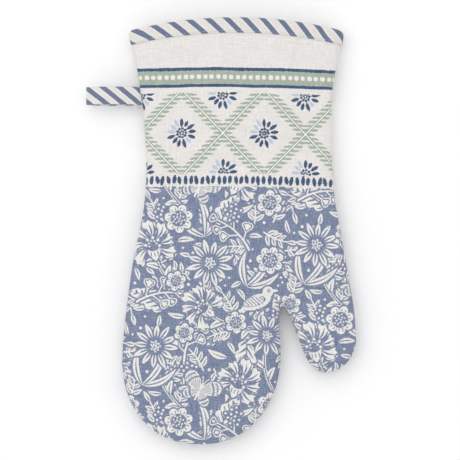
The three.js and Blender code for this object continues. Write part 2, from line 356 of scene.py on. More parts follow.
def place(panel, side, depth, binding=False, groove=1.0):
    """Where a layer's points lie: side is 1 in front and -1 behind, depth is below the surface."""
    x, y = panel.xy.T
    edge, below = panel.edge, panel.below
    sunk = depth
    if not binding:
        pinch = 1 - ramp(below, 9, 21)
        sunk = depth + pinch * (BINDING_INSET - (1 - SQUEEZE) * depth)
    turn = np.clip(edge / EDGE, 0, 1) * math.pi / 2
    crown = CROWN * (1 - np.exp(-(edge / CROWN_REACH[side]) ** 2))
    crown *= 1 - 0.3 * np.exp(-below / 45)
    along = panel.nearest * SAMPLE
    pucker = np.sin(along / 1.55 + 1.4 * np.sin(along / 11)) + 0.7 * np.sin(along / 2.6 + 2 * side)
    pucker *= PUCKER * np.exp(-edge / 5.5) * ramp(edge, 0, 1.2) * ramp(below, 14, 30)
    half = (EDGE_RISE - sunk) * np.sin(turn) + crown + pucker
    from_loop = np.abs(y - LOOP_Y) - LOOP_WIDTH / 2
    half += (1 - ramp(from_loop, 0, 3)) * (x < 0) * LOOP_LUMP * np.exp(-(edge / 16) ** 2)
    half += UNEVEN * ripple(x, y * side) * ramp(edge, 2, 24)
    valley = groove * SEAM_GROOVE * np.exp(-(half / 1.3) ** 2)
    inward = EDGE - (EDGE - sunk) * np.cos(turn) - np.minimum(edge, EDGE) + valley
    flat = panel.xy + panel.inward * inward[:, None]
    where = np.column_stack([flat, MID_Z + side * (half + SIDE_GAP)])
    fade = ramp(below, 12, 30) * ramp(edge, 0, 2)
    where += panel.shift[side] * fade[:, None]
    if side < 0:
        where[:, 2] = np.maximum(where[:, 2], np.broadcast_to(sunk, half.shape))
    return where


def new_object(name, verts_mm, faces, smooth_angle=50):
    mesh = bpy.data.meshes.new(name)
    mesh.from_pydata(np.asarray(verts_mm) * MM, [], faces)
    mesh.polygons.foreach_set("use_smooth", np.ones(len(mesh.polygons), bool))
    if smooth_angle:
        mesh.set_sharp_from_angle(angle=math.radians(smooth_angle))
    obj = bpy.data.objects.new(name, mesh)
    bpy.context.scene.collection.objects.link(obj)
    return obj


SIM_FRAMES = 20
SIM_PRESSURE = 4.0
SIM_GROWTH = 0.02               # extra cloth in the panels, which gathers into soft puckers
SIM_LIMIT = 1.6                 # furthest that a simulated wrinkle may stand from the form


def simulate(panel):
    """Inflates the sewn panels a little and returns each panel's wrinkles."""
    count = len(panel.xy)
    rest = {side: place(panel, side, 0.0, groove=0) for side in (1, -1)}
    edges, _, uses = unique_edges(panel.tris)
    rim = np.unique(edges[uses == 1])
    sewn = rim[panel.edge[rim] < 0.01]
    back_number = np.arange(count) + count
    back_number[sewn] = sewn
    faces = np.vstack([panel.tris, back_number[panel.tris][:, ::-1]])
    used, renumbered = np.unique(faces, return_inverse=True)
    both = np.vstack([rest[1], rest[-1]])
    bag = new_object("simulated_bag", both[used], renumbered.reshape(-1, 3).tolist(), 0)
    pins = bag.vertex_groups.new(name="held")
    held = np.tile(1 - ramp(panel.below, 12, 26), 2)
    held[sewn] = 1
    for i, old in enumerate(used):
        if held[old] > 0:
            pins.add([i], float(held[old]), "REPLACE")
    cloth = bag.modifiers.new("cloth", "CLOTH")
    settings = cloth.settings
    settings.quality = 6
    settings.mass = 0.25
    settings.tension_stiffness = settings.compression_stiffness = 18
    settings.shear_stiffness = 8
    settings.bending_stiffness = 0.4
    settings.use_pressure = True
    settings.uniform_pressure_force = SIM_PRESSURE
    settings.vertex_group_mass = pins.name
    settings.shrink_min = -SIM_GROWTH
    settings.effector_weights.gravity = 0
    cloth.point_cache.frame_start, cloth.point_cache.frame_end = 1, SIM_FRAMES
    scene = bpy.context.scene
    for step in range(1, SIM_FRAMES + 1):
        scene.frame_set(step)
    settled = bag.evaluated_get(bpy.context.evaluated_depsgraph_get()).data
    moved = np.empty(len(settled.vertices) * 3)
    settled.vertices.foreach_get("co", moved)
    whole = both.copy()
    whole[used] = moved.reshape(-1, 3) / MM
    whole[sewn + count] = whole[sewn]
    bpy.data.objects.remove(bag)
    scene.frame_set(1)
    wrinkles = []
    for side, part in ((1, whole[:count]), (-1, whole[count:])):
        change = part - rest[side]
        change = change - relax(change, panel.tris, 30)
        size = np.linalg.norm(change, axis=1, keepdims=True)
        wrinkles.append(change * np.tanh(size / SIM_LIMIT) * SIM_LIMIT / np.maximum(size, 1e-6))
    return np.hstack(wrinkles)


# ---- print: distances in millimetres, negative inside a shape -----------------
# A motif gives four fields: its pale shape; the outline inside which it clears what lies under
# it; and its carved lines, as a coordinate that is a whole number along each line and the
# line's half-width as a share of the distance between two.
CUT_PITCH = 3.4


def dot(x, y, cx, cy, r):
    return np.hypot(x - cx, y - cy) - r


def oval(x, y, rx, ry):
    return (np.hypot(x / rx, y / ry) - 1) * np.minimum(rx, ry)


def plain(shape):
    """A motif without carved lines."""
    return shape, shape, np.full_like(shape, 0.5), np.full_like(shape, -1.0)


def join(*motifs):
    pale, halo, cut, half = motifs[0]
    for other in motifs[1:]:
        nearer = other[1] < halo
        pale = np.minimum(pale, other[0])
        cut, half = np.where(nearer, other[2], cut), np.where(nearer, other[3], half)
        halo = np.minimum(halo, other[1])
    return pale, halo, cut, half


def swell(t, blunt, power=0.75):
    """Width of a leaf or petal along its length, as a share of its widest."""
    return np.sin(np.pi * t ** blunt).clip(0) ** power


def leaf(x, y, start, end, width, bend=0.0, blunt=0.8, line=0.0, lobes=0):
    """A leaf from start to end, bowed by bend times its length, with a line of that half-width
    carved along its middle."""
    x, y, dx, dy = x - start[0], y - start[1], end[0] - start[0], end[1] - start[1]
    length = math.hypot(dx, dy)
    t = (x * dx + y * dy) / length ** 2
    inside = np.clip(t, 0, 1)
    beside = (y * dx - x * dy) / length
    beside = beside - bend * length * 4 * inside * (1 - inside)
    beyond = np.maximum(-t, t - 1).clip(0) * length
    half = width * swell(inside, blunt)
    if lobes:
        half = half * (0.78 + 0.34 * np.abs(np.sin(inside * lobes * math.pi)))
    shape = np.where(beyond > 0, np.hypot(beyond, beside), np.abs(beside) - half)
    if not line:
        return plain(shape)
    share = line / CUT_PITCH * np.clip((0.84 - t) * 2.6, -0.5, 1) * np.clip(t * 12, -0.5, 1)
    if lobes:
        middle = np.maximum(np.abs(beside) - line, t - 0.8)
        rib = 1.6 * inside * lobes - np.abs(beside) / width * 1.5
        rib_share = 0.2 * np.clip((0.8 - np.abs(beside) / half.clip(0.1)) * 3, -1, 1)
        return np.maximum(shape, -middle), shape, rib, rib_share
    return shape, shape, np.clip(beside / CUT_PITCH, -0.5, 0.5), share


def stroke(x, y, points, r0, r1=None, line=0.0):
    """A line through points, from half-width r0 to r1, hollow if line is given."""
    r1 = r0 if r1 is None else r1
    best, side = np.full_like(x, 1e3), np.zeros_like(x)
    count = len(points) - 1
    for i in range(count):
        (ax, ay), (bx, by) = points[i], points[i + 1]
        dx, dy = bx - ax, by - ay
        t = (((x - ax) * dx + (y - ay) * dy) / (dx * dx + dy * dy)).clip(0, 1)
        r = r0 + (r1 - r0) * (i + t) / count
        away = np.hypot(x - ax - t * dx, y - ay - t * dy)
        turned = np.sign((y - ay) * dx - (x - ax) * dy) * away
        side = np.where(away - r < best, turned, side)
        best = np.minimum(best, away - r)
    if not line:
        return plain(best)
    return best, best, np.clip(side / CUT_PITCH, -0.5, 0.5), np.full_like(x, line / CUT_PITCH)


def reach(start, heading, length):
    a = math.radians(heading)
    return start[0] + length * math.cos(a), start[1] + length * math.sin(a)


def turned(x, y, angle):
    """The same places seen from axes that are turned by an angle in degrees."""
    c, s = math.cos(math.radians(angle)), math.sin(math.radians(angle))
    return x * c + y * s, y * c - x * s


STEPS = 12                      # in every bowed stalk


def stalk_points(heading, length, turn):
    """Points along a line from the origin that turns steadily; heading and turn are in degrees."""
    points = [(0, 0)]
    for i in range(STEPS):
        points.append(reach(points[-1], heading + turn * (i + 0.5) / STEPS, length / STEPS))
    return points


def spokes(x, y, count, phase=0.0):
    """Along and across the nearest of count equal spokes, and that spoke's number."""
    angle = np.arctan2(y, x) - phase
    k = np.round(angle / (2 * np.pi / count))
    local = angle - k * 2 * np.pi / count
    r = np.hypot(x, y)
    return r * np.cos(local), r * np.sin(local), np.mod(k, count)


def seeds(x, y, radius, size, count):
    best = np.full_like(x, 1e3)
    for i in range(count):
        r = radius * math.sqrt((i + 0.3) / count)
        best = np.minimum(best, dot(x, y, *reach((0, 0), i * 137.5, r), size))
    return best


def petal_ring(along, across, inner, outer, width, blunt, power=0.75):
    """Petals on spokes, with how far along its petal each place is and the half-width there."""
    t = ((along - inner) / (outer - inner)).clip(0, 1)
    half = width * swell(t, blunt, power)
    outside = (along < inner) | (along > outer)
    return np.where(outside, 0.6 + np.abs(across), np.abs(across) - half), t, half


def daisy(x, y, count, r):
    phase = 0 if count % 2 else math.pi / count
    along, across, k = spokes(x, y, count, phase)
    inner, outer = 0.34 * r, r * (1 + 0.07 * np.sin(k * 2.3))
    petals, t, half = petal_ring(along, across, inner, outer, 0.115 * r, 0.95)
    halo = np.minimum(np.abs(across) - half, np.hypot(x, y) - 0.36 * r)
    cut = (np.arctan2(y, x) - phase) * count / (2 * math.pi)
    width = (0.72 - 0.36 * t) * np.clip((0.76 + 0.1 * np.sin(k * 1.7) - t) * 4, -0.5, 1)
    share = width * np.clip((along - inner) * 2, -1, 1) * count / (2 * math.pi * np.maximum(along, 2))
    pale = np.minimum(petals, seeds(x, y, 0.25 * r, 0.044 * r, 16))
    return pale, np.where(along > outer, 9, halo), cut, share


def rosette(x, y, count, r):
    """Round petals that nearly touch, about a seeded disc."""
    between = math.sin(math.pi / count)
    petal = 0.97 * r * between / (1 + between)
    along, across, _ = spokes(x, y, count, 0.3)
    ring = np.hypot(along - (r - petal), across)
    disc = np.hypot(x, y) - 0.56 * r
    petals = np.maximum(ring - petal, -disc)
    share = np.where(along < r - petal * 0.7, 0.09, -0.09) * np.clip(disc, -1, 1)
    pale = np.minimum(petals, seeds(x, y, 0.47 * r, 0.066 * r, 15))
    return pale, np.minimum(ring - petal, disc), (ring - petal * 0.5) / 4, share


def fan_flower(x, y, r):
    """A ragged, many-petalled bloom seen from the side, above its cup."""
    radius = np.hypot(x, y)
    angle = np.degrees(np.arctan2(x, y)) - 7 * np.sin(radius / 5) * np.clip(radius / 6, 0, 1)
    shape = np.full_like(x, 9.0)
    for i in range(7):
        spread = (angle - 42 * (i - 3)) / 21
        teeth = 1.9 * np.abs(np.sin(spread * 4.4 + i * 0.7))
        edge = r * (0.95 + 0.07 * np.cos(i * 1.9)) - teeth - 0.10 * r * spread ** 2
        open_to = np.clip(0.16 + (radius / r - 0.3) * 1.75, 0.1, 0.92)
        beside = np.radians(21) * radius * (np.abs(spread) - open_to)
        petal = np.maximum(np.maximum(beside, radius - edge), 0.33 * r - radius)
        shape = np.minimum(shape, petal)
    cut = 3 * angle / 42
    ends = r * (0.84 + 0.12 * np.sin(cut * 2.2))
    share = 0.34 * np.clip((ends - radius) / (0.42 * r), -0.4, 0.85)
    share = np.where(radius < 0.335 * r, -0.3, share)
    hollow = radius - 0.33 * r
    beads = np.full_like(x, 9.0)
    for i in range(10):
        out, size = (0.27, 0.06) if i % 2 else (0.15, 0.04)
        beads = np.minimum(beads, dot(x, y, *reach((0, 0), 200 - i * 24.5, out * r), size * r))
    cup = leaf(x, y, (0, -0.1 * r), (0, -0.66 * r), 0.25 * r, 0, 0.5)[0]
    cup = np.maximum(cup, -dot(x, y, 0, 0.05 * r, 0.31 * r))
    petals = shape, np.minimum(shape, hollow), cut, share
    ribs = cup, cup, x / 2.6, np.where(y > -0.48 * r, 0.15, -0.1)
    middle = beads, np.minimum(beads, hollow), *plain(beads)[2:]
    return join(petals, middle, ribs)


def stem(x, y, length, turn, leaves):
    """A hollow flower stalk that runs down from the origin, with leaves."""
    line = stalk_points(-90, length, turn)
    parts = [stroke(x, y, line, 1.3, 1.0, 0.45)]
    for i in range(leaves):
        k, side = 4 + 3 * i, 1 if i % 2 else -1
        tip = reach(line[k], -90 + turn * k / STEPS + 132 * side, 12)
        parts.append(leaf(x, y, line[k], tip, 2.28, 0.1 * side, 0.8, 0.45))
    return join(*parts)


def sprig(x, y):
    """A bowed stalk with leaves on both sides and one at the tip."""
    turn = 30
    stalk = stalk_points(90, 20, turn)
    parts = [stroke(x, y, stalk, 0.62, 0.5)]
    pairs = [(2 + 3 * i, side, 9 - 0.9 * i) for i in range(3) for side in (-1, 1)]
    for k, side, size in (*pairs, (STEPS, 0, 9)):
        tip = reach(stalk[k], 90 + turn * k / STEPS + side * 48, size)
        parts.append(leaf(x, y, stalk[k], tip, 0.2 * size, 0.06 * side, 0.8, 0.42))
    return join(*parts)


def blades(x, y, count, length):
    """Long bowed leaves that rise from one point."""
    parts = []
    for i in range(count):
        off = i - (count - 1) / 2
        tip = reach((0, 0), 90 - 34 * off, length * (1 - 0.12 * abs(off)))
        parts.append(leaf(x, y, (0, 0), tip, 2.4, -0.13 if off >= 0 else 0.13, 0.8, 0.5))
    return join(*parts)


def big_leaf(x, y, length, bend):
    """A lobed leaf with carved ribs."""
    return leaf(x, y, (0, 0), (0, length), 0.24 * length, bend, 0.7, 0.55, 4)


def bud(x, y, r):
    """An outlined heart, its point at the origin."""
    lobes = dot(np.abs(x), y, 0.42 * r, 1.25 * r, 0.56 * r)
    shape = np.minimum(lobes, leaf(x, y, (0, 0), (0, 1.9 * r), 0.72 * r, 0.0, 1.25)[0])
    return shape, shape, np.clip((shape + 1.3) / CUT_PITCH, -0.5, 0.5), np.full_like(x, 0.13)


def twig(x, y, length):
    """A bowed stalk with a bud at the end of each short arm."""
    turn = -40
    stalk = stalk_points(90, length, turn)
    parts = [stroke(x, y, stalk, 0.85, 0.5)]
    for i, (k, side, arm) in enumerate(((3, 1, 6), (5, -1, 7), (7, 1, 6), (9, -1, 5), (STEPS, 0, 0.5))):
        heading = 90 + turn * k / STEPS + side * 52
        end = reach(stalk[k], heading, arm)
        u, v = turned(x - end[0], y - end[1], heading - 90)
        parts += [stroke(x, y, [stalk[k], end], 0.5), bud(u, v, 4.6 - 0.25 * i)]
    return join(*parts)


def butterfly(x, y, r):
    mirrored = np.abs(x)
    radius, angle = np.hypot(mirrored, y), np.degrees(np.arctan2(mirrored, y))
    cells = np.hypot((np.mod(angle / 10, 1) - 0.5) * np.radians(10) * radius,
                     (np.mod(radius / 3.1, 1) - 0.5) * 3.1) - 0.85
    parts = []
    for middle, spread, size in ((57, 38, 1.0), (130, 35, 0.76)):
        beside = ((angle - middle) / spread).clip(-1, 1)
        wing = radius - size * r * np.cos(beside * math.pi / 2).clip(0) ** 0.4
        rim = size * r - radius
        pale = np.where((radius > 0.5 * size * r) & (wing < -0.8), np.maximum(wing, -cells), wing)
        share = np.where(rim > 0.5 * size * r, 0.2, 0.08) * np.clip(-wing - 0.5, -1, 1)
        parts.append((pale, wing, angle / 10, share))
    body = plain(np.minimum(stroke(x, y, [(0, -8), (0, 4.5)], 0.7, 1.1)[0],
                            stroke(mirrored, y, [(0.2, 4), (1.1, 8), (2.7, 11)], 0.4)[0]))
    return join(*parts, body)


def bird(x, y):
    """A plain perching bird in a few cuts."""
    body = oval(x, y - 0.1 * x, 11.5, 5.6)
    tail = leaf(x, y, (-8, -2), (-22, -7.5), 2.2, 0.03)[0]
    shape = np.minimum(np.minimum(body, dot(x, y, 10.2, 5.4, 4.2)), tail)
    shape = np.minimum(shape, leaf(x, y, (13, 5.2), (18.4, 4.2), 1.1)[0])
    wing = oval(x + 2.2, y - 0.8, 8.4, 3.5)
    cut = np.where(wing < -0.3, (x + 0.7 * y) / 2.4, wing / 3)
    half = np.where(wing < -0.3, 0.18, np.where(wing < 1.2, 0.13, -0.1))
    half = np.where(dot(x, y, 11, 6, 3.4) < 0, -0.1, half)
    specks = np.hypot(np.mod(x, 3) - 1.5, np.mod(y + 1.5 * np.floor(x / 3), 2.8) - 1.4) - 0.5
    pale = np.where((wing > 1.2) & (x < 6), np.maximum(shape, -specks), shape)
    pale = np.maximum(pale, -dot(x, y, 11, 6, 1.35))
    return np.minimum(pale, dot(x, y, 11, 6, 0.6)), shape, cut, half


def berries(x, y, r, count):
    return plain(seeds(x, y, r, 1.0, count))


def small_leaf(x, y, half):
    return leaf(x, y, (0, -half), (0, half), 0.28 * half + 0.3, 0.08, 0.8, 0.42)


def round_dot(x, y, r):
    return plain(dot(x, y, 0, 0, r))


TILE = (124.0, 156.0)           # the print repeats over this, each column half a repeat lower
CELL = 0.3
# The motifs in the order they are laid, what comes later on top: each with half the square it
# fills, the names of its own sizes, and its places as x, y, turn in degrees and those sizes.
MOTIFS = (
    (stem, 56, ("length", "turn", "leaves"),
     ((22, 30, 14, 46, 46, 3), (88, 78, -20, 50, -50, 3), (64, 138, 50, 44, 50, 3),
      (66, 10, 0, 44, -46, 3), (24, 100, 10, 48, 44, 3), (108, 108, -8, 40, 50, 2))),
    (blades, 40, ("count", "length"),
     ((62, 40, 12, 3, 34), (14, 82, -30, 3, 33), (94, 2, -34, 3, 31), (78, 60, -60, 2, 24))),
    (big_leaf, 38, ("length", "bend"),
     ((94, 116, 160, 33, 0.12), (30, 140, 62, 30, -0.1), (74, 46, -30, 30, 0.1),
      (0, 50, 24, 27, -0.1))),
    (twig, 48, ("flip", "length"), ((46, 98, 0, 1, 36), (96, 30, 26, -1, 33), (10, 146, -56, 1, 30))),
    (berries, 14, ("r", "count"),
     ((50, 94, 0, 6.5, 10), (84, 58, 0, 7.5, 12), (116, 134, 0, 6, 9), (28, 60, 0, 5.5, 8))),
    (fan_flower, 24, ("r",), ((22, 34, 12, 19.5), (88, 84, -24, 19.5), (60, 142, 55, 18))),
    (daisy, 22, ("count", "r"), ((66, 20, 0, 12, 18), (24, 112, 9, 12, 17.5), (110, 120, 4, 11, 16))),
    (butterfly, 28, ("r",), ((58, 78, -28, 17),)),
    (bird, 28, (), ((102, 146, 14),)),
    (rosette, 13, ("count", "r"),
     ((42, 54, 0, 7, 11), (112, 66, 10, 6, 10), (86, 130, 20, 6, 8.4), (4, 66, 0, 6, 8),
      (112, 22, 0, 7, 10.5), (40, 6, 0, 6, 7.6), (46, 122, 5, 6, 7.6))),
)


class Canvas:
    """One repeat of the print, as fields of pale shape, carved lines and their half-widths."""

    def __init__(self, width, height, cell):
        self.nx, self.ny = round(width / cell), 2 * round(height / cell / 2)
        self.cx, self.cy = width / self.nx, height / self.ny
        self.pale, self.cut, self.half = (np.full((self.ny, self.nx), v) for v in (4.0, 0.5, -1.0))

    def index(self, col, row):
        drop = np.floor_divide(col, self.nx)
        return np.mod(row - drop * (self.ny // 2), self.ny), np.mod(col, self.nx)

    def stamp(self, motif, cx, cy, angle, span, flip=1, margin=1.3, **shape):
        """Lays a motif over what is there, with a bare margin round it."""
        cols = np.arange(int((cx - span) / self.cx), int((cx + span) / self.cx))
        rows = np.arange(int((cy - span) / self.cy), int((cy + span) / self.cy))
        cols, rows = np.meshgrid(cols, rows)
        u, v = turned(cols * self.cx - cx, rows * self.cy - cy, angle)
        pale, halo, cut, half = motif(flip * u, v, **shape)
        at = self.index(cols, rows)
        self.pale[at] = np.minimum(np.maximum(self.pale[at], margin - halo), pale)
        own = halo < margin
        self.cut[at] = np.where(own, cut, self.cut[at])
        self.half[at] = np.where(own, half, self.half[at])

    def sample(self, x, y):
        fx, fy = x / self.cx, y / self.cy
        ix, iy = np.floor(fx).astype(int), np.floor(fy).astype(int)
        tx, ty = fx - ix, fy - iy
        return [sum(wx * wy * field[self.index(ix + ox, iy + oy)]
                    for ox, wx in ((0, 1 - tx), (1, tx)) for oy, wy in ((0, 1 - ty), (1, ty)))
                for field in (self.pale, self.cut, self.half)]

    def room(self, x, y, r):
        """Distance to the nearest pale shape, found within r."""
        n = int(r / self.cx)
        cols, rows = np.meshgrid(np.arange(-n, n + 1), np.arange(-n, n + 1))
        near = cols ** 2 + rows ** 2 <= n * n
        return self.pale[self.index(cols[near] + int(x / self.cx), rows[near] + int(y / self.cy))].min()


def fill(canvas):
    """Small leaves and dots where the ground is still bare."""
    rng = np.random.default_rng(11)
    for gap, tries in ((6.6, 900), (5.3, 1100), (4.0, 1300), (2.9, 350), (2.2, 350)):
        for x, y in rng.uniform((0, 0), TILE, (tries, 2)):
            if canvas.room(x, y, gap) < 0.5:
                continue
            if gap > 3:
                canvas.stamp(small_leaf, x, y, rng.uniform(0, 360), 11, margin=0.8, half=gap + 1.3)
            else:
                canvas.stamp(round_dot, x, y, 0, 4, r=0.42 * gap)


def botanical():
    """The blue ground's print: sprigs below, then the motifs, then small leaves and dots."""
    canvas = Canvas(*TILE, CELL)
    rng = np.random.default_rng(5)
    for x, y in rng.uniform((0, 0), TILE, (400, 2)):
        if canvas.room(x, y, 6.5) > 0.5:
            canvas.stamp(sprig, x, y, rng.uniform(0, 360), 34)
    for motif, span, sizes, places in MOTIFS:
        for x, y, turn, *values in places:
            canvas.stamp(motif, x, y, turn, span, **dict(zip(sizes, values)))
    fill(canvas)
    return canvas


PRINT_SHIFT = (75.0, 200.0)     # from the mitt's origin to the print's
# Each line or band of the cuff: its middle's height and its half-width.
BAND_TOP_LINE, BAND, BAND_LOW_LINE = (124.95, 1.25), (118.55, 5.2), (112.2, 1.2)
DOTS_Y, DOTS_PITCH, DOTS_RADIUS = 118.9, 5.0, 1.7
DIAMOND_X, DIAMOND_Y = -30.8, 76.0
DIAMOND_WIDE, DIAMOND_HIGH = 31.7, 33.4     # half-diagonals
DIAMOND_CLIP = (44.2, 107.2)    # the lattice and its flowers end here
UPPER_DAISY, LOWER_DAISY = 29.3, -30.9      # between the diamonds
DASH_PITCH, DASH_HALF, DASH_ROWS = 3.26, 1.0, 9
OVALS_Y, OVALS_PITCH, OVALS_HALF = 39.7, 4.3, 1.55
GROUND_TOP = 34.8               # the blue ground lies below this


def little_daisy(x, y):
    """Navy petals and a heart of dots, and pale petals, for the middles of the diamonds."""
    along, across, k = spokes(x, y, 13, 0.12)
    across = across + 0.05 * (along - 7) * np.sin(k * 2.9)
    inner, outer = 4.5 + 0.4 * np.sin(k * 3.7), 11.4 + np.sin(k * 2.1)
    petal, _, _ = petal_ring(along, across, inner, outer, 1.38, 1.05, 0.85)
    heart = np.full_like(x, 9.0)
    for count, phase, out, size in ((9, 0.0, 3.35, 1.02), (5, 0.4, 1.3, 0.78)):
        along, across, _ = spokes(x, y, count, phase)
        heart = np.minimum(heart, dot(along, across, out, 0, size))
    is_pale = np.isin(k, (4, 5, 6, 11))
    return np.minimum(np.where(is_pale, 9, petal), heart), np.where(is_pale, petal, 9)


def band_dots(x, y):
    """A row of uneven square-shouldered dots."""
    number = np.floor(x / DOTS_PITCH)
    u = np.mod(x, DOTS_PITCH) - DOTS_PITCH / 2 + 0.2 * np.sin(number * 2.3)
    radius = DOTS_RADIUS + 0.16 * np.sin(number * 3.1)
    return (np.abs(u) ** 3 + np.abs(y - DOTS_Y) ** 3) ** (1 / 3) - radius


def lattice(dx, dy):
    """The bars between the diamonds, as the distance across them, and the dashes beside them."""
    bar_x = DIAMOND_WIDE * (1 - np.abs(dy) / DIAMOND_HIGH)
    beside, other = np.abs(dx) - bar_x, 2 * DIAMOND_WIDE - np.abs(dx) - bar_x
    row = np.mod(dy + DASH_PITCH / 2, DASH_PITCH) - DASH_PITCH / 2
    dash = np.full_like(dx, 9.0)
    for along, middle, half in ((beside, -3.8, 3.1), (beside, 4.1, 3.4), (other, 4.1, 3.4)):
        off = along - middle
        dash = np.minimum(dash, oval(off, row + 0.05 * off * np.sign(middle), half, DASH_HALF))
    in_rows = np.abs(dy - row) < (DASH_ROWS + 0.5) * DASH_PITCH
    bar = beside * DIAMOND_HIGH / math.hypot(DIAMOND_WIDE, DIAMOND_HIGH)
    return bar, np.where(in_rows, dash, 9)


def upright_ovals(x, y):
    """A row of uneven ovals that lean a little."""
    number = np.floor(x / OVALS_PITCH)
    lean = 0.16 * np.sin(number * 2.7) * (y - OVALS_Y) + 0.3 * np.sin(number * 4.1)
    u = np.mod(x, OVALS_PITCH) - OVALS_PITCH / 2 - lean
    v = y - OVALS_Y - 0.35 * np.sin(number * 1.9)
    return oval(u, v, OVALS_HALF, 3.4 + 0.25 * np.sin(number * 3.3))


def cuff_print(x, y):
    """Distances to the cuff's navy, green, pale blue and white shapes, and across its lattice."""
    y = y + 0.009 * x + 0.00024 * (x - 10) ** 2
    top, band, low = (np.abs(y - at) - half for at, half in (BAND_TOP_LINE, BAND, BAND_LOW_LINE))
    dx = np.mod(x - DIAMOND_X + DIAMOND_WIDE, 2 * DIAMOND_WIDE) - DIAMOND_WIDE
    dy = y - DIAMOND_Y
    bar, dash = lattice(dx, dy)
    side_x = (np.abs(dx) - DIAMOND_WIDE) * np.sign(dx)
    daisies = (little_daisy(dx, dy), little_daisy(side_x, dy - UPPER_DAISY),
               little_daisy(side_x, dy - LOWER_DAISY))
    flowers, pale = (np.minimum.reduce(petals) for petals in zip(*daisies))
    inside = (y > DIAMOND_CLIP[0]) & (y < DIAMOND_CLIP[1])
    navy = np.minimum.reduce([top, low, np.where(inside, flowers, 9), upright_ovals(x, y)])
    ground = y - GROUND_TOP + 0.35 * np.sin(x * 0.9) + 0.3 * np.sin(x * 0.37 + 1)
    return {"navy": navy, "green": np.minimum(band, dash), "pale": np.where(inside, pale, 9),
            "white": band_dots(x, y), "bar": np.where(inside, bar, 9), "ground": ground}


def print_fields(xy, side, canvas):
    x, y = xy[:, 0] * side, xy[:, 1]
    drawn = canvas.sample(x + PRINT_SHIFT[0], y + PRINT_SHIFT[1])
    return cuff_print(x, y) | dict(zip(("leaves", "cut", "cut_half"), drawn))


# ---- pieces -------------------------------------------------------------------
def panels():
    """The panel at each level of fineness, with the simulated wrinkles on all of them."""
    points, *mesh = panel_mesh()
    flat = flat_panel(points, *mesh)
    levels = [Panel(np.hstack([flat.xy, simulate(flat)]), *mesh)]
    for _ in range(LEVELS):
        last = levels[-1]
        values = np.hstack([last.xy, last.shift[1], last.shift[-1]])
        values, *mesh = halve(values, last.tris, last.is_thumb)
        values[:, 2:] = relax(values[:, 2:], mesh[0], 2)
        levels.append(Panel(values, *mesh))
    return levels


def wall_faces(outer_loop, inner_loop, offset):
    """Faces that join a fine edge loop to a coarse one with the same corners."""
    step, faces = len(outer_loop) // len(inner_loop), []
    middle = (step + 1) // 2
    for i in range(len(inner_loop)):
        near, far = inner_loop[i] + offset, inner_loop[(i + 1) % len(inner_loop)] + offset
        fine = [outer_loop[(i * step + k) % len(outer_loop)] for k in range(step + 1)]
        faces += [(fine[k + 1], fine[k], near if k < middle else far) for k in range(step)]
        faces.append((fine[middle], near, far))
    return np.array(faces)


def write_uv(obj, name, uv):
    obj.data.uv_layers.new(name=name).data.foreach_set("uv", np.asarray(uv, np.float32).ravel())


# Where the cloth's slope makes EDGE's rounding spread the print most.
TURN_DOWN = EDGE * math.asin(2 / math.pi) * 2 / math.pi


def printed_at(xy, inward, edge):
    """Where points lie in the print. Its lines look straight from the front until the cloth turns
    down at the edge of the mitt."""
    edge = np.clip(edge, TURN_DOWN, EDGE)
    spread = edge - EDGE * (1 - np.cos(edge / EDGE * math.pi / 2))
    return xy - inward * spread[:, None]


BAKE_GAP = 3.0                  # bare margin round each side of a layer in its second UV map


def layer(name, kind, side, thumb, outer, inner, canvas=None):
    """One closed layer of the mitt: its outer side from one panel, its inner from another."""
    shallow, deep = LAYERS[kind]
    verts = np.vstack([place(outer, side, shallow), place(inner, side, deep)])
    offset = len(outer.xy)
    top, bottom = outer.part(thumb), inner.part(thumb)
    walls = wall_faces(rim_loop(top), rim_loop(bottom), offset)
    faces = np.vstack([top, bottom[:, ::-1] + offset, walls])
    if side < 0:
        faces = faces[:, ::-1]
    used, renumbered = np.unique(faces, return_inverse=True)
    obj = new_object(name, verts[used], renumbered.reshape(-1, 3).tolist())
    flat, away = np.vstack([outer.xy, inner.xy]), np.vstack([outer.inward, inner.inward])
    printed = printed_at(flat, away, np.r_[outer.edge, inner.edge])
    corners = faces.ravel()
    write_uv(obj, "flat", printed[corners] * (side, 1))
    uv = flat[corners] * (side, 1)
    low, size = uv.min(0), np.ptp(uv, axis=0) + 2 * BAKE_GAP
    kinds = np.repeat(["top", "bottom", "wall"], [3 * len(part) for part in (top, bottom, walls)])
    inner_wall = (kinds == "wall") & (corners >= offset)
    beside = np.where(kinds == "bottom", size[0], 0)[:, None] * (1, 0)
    beside = beside - inner_wall[:, None] * away[corners] * (side, 1) * BAKE_GAP / 2
    write_uv(obj, "OFBake", (uv - low + BAKE_GAP + beside) / max(2 * size[0], size[1]))
    if canvas:
        for field, values in print_fields(printed[used], side, canvas).items():
            attribute = obj.data.attributes.new("print_" + field, "FLOAT", "POINT")
            attribute.data.foreach_set("value", np.asarray(values, np.float32))
    return obj


# ---- striped tape: the cuff's binding and the hanging loop ----------------------
BINDING_OUT, BINDING_IN, BINDING_SKIN = 0.12, 5.95, 0.85    # depths of its faces, and its thickness
BINDING_FOLD = 2.2              # the tape is rounded this far down from the cuff's edge
BINDING_BACK = BINDING_WIDTH - 1.2      # width of the tape inside the mitt
CORNER = 4.6                    # radius of the cuff's rounded corners
STATIONS = 230                  # along the front half of the binding
STRIPE_PITCH, LOOP_PITCH = 14.1, 12.9
STITCH_ROW = 3                  # the point of the binding's section that the stitches follow
STITCH_EVERY, STITCH_LENGTH, STITCH_RADIUS = 2.9, 2.0, 0.17
# Each ring of a stitch: how far along it, its size, and its rise from the cloth in radii.
STITCH_RINGS = ((0, 0.35, -0.5), (0.15, 0.85, 0.1), (0.5, 1, 0.35), (0.85, 0.85, 0.1), (1, 0.35, -0.5))
STITCH_SIDES = 6


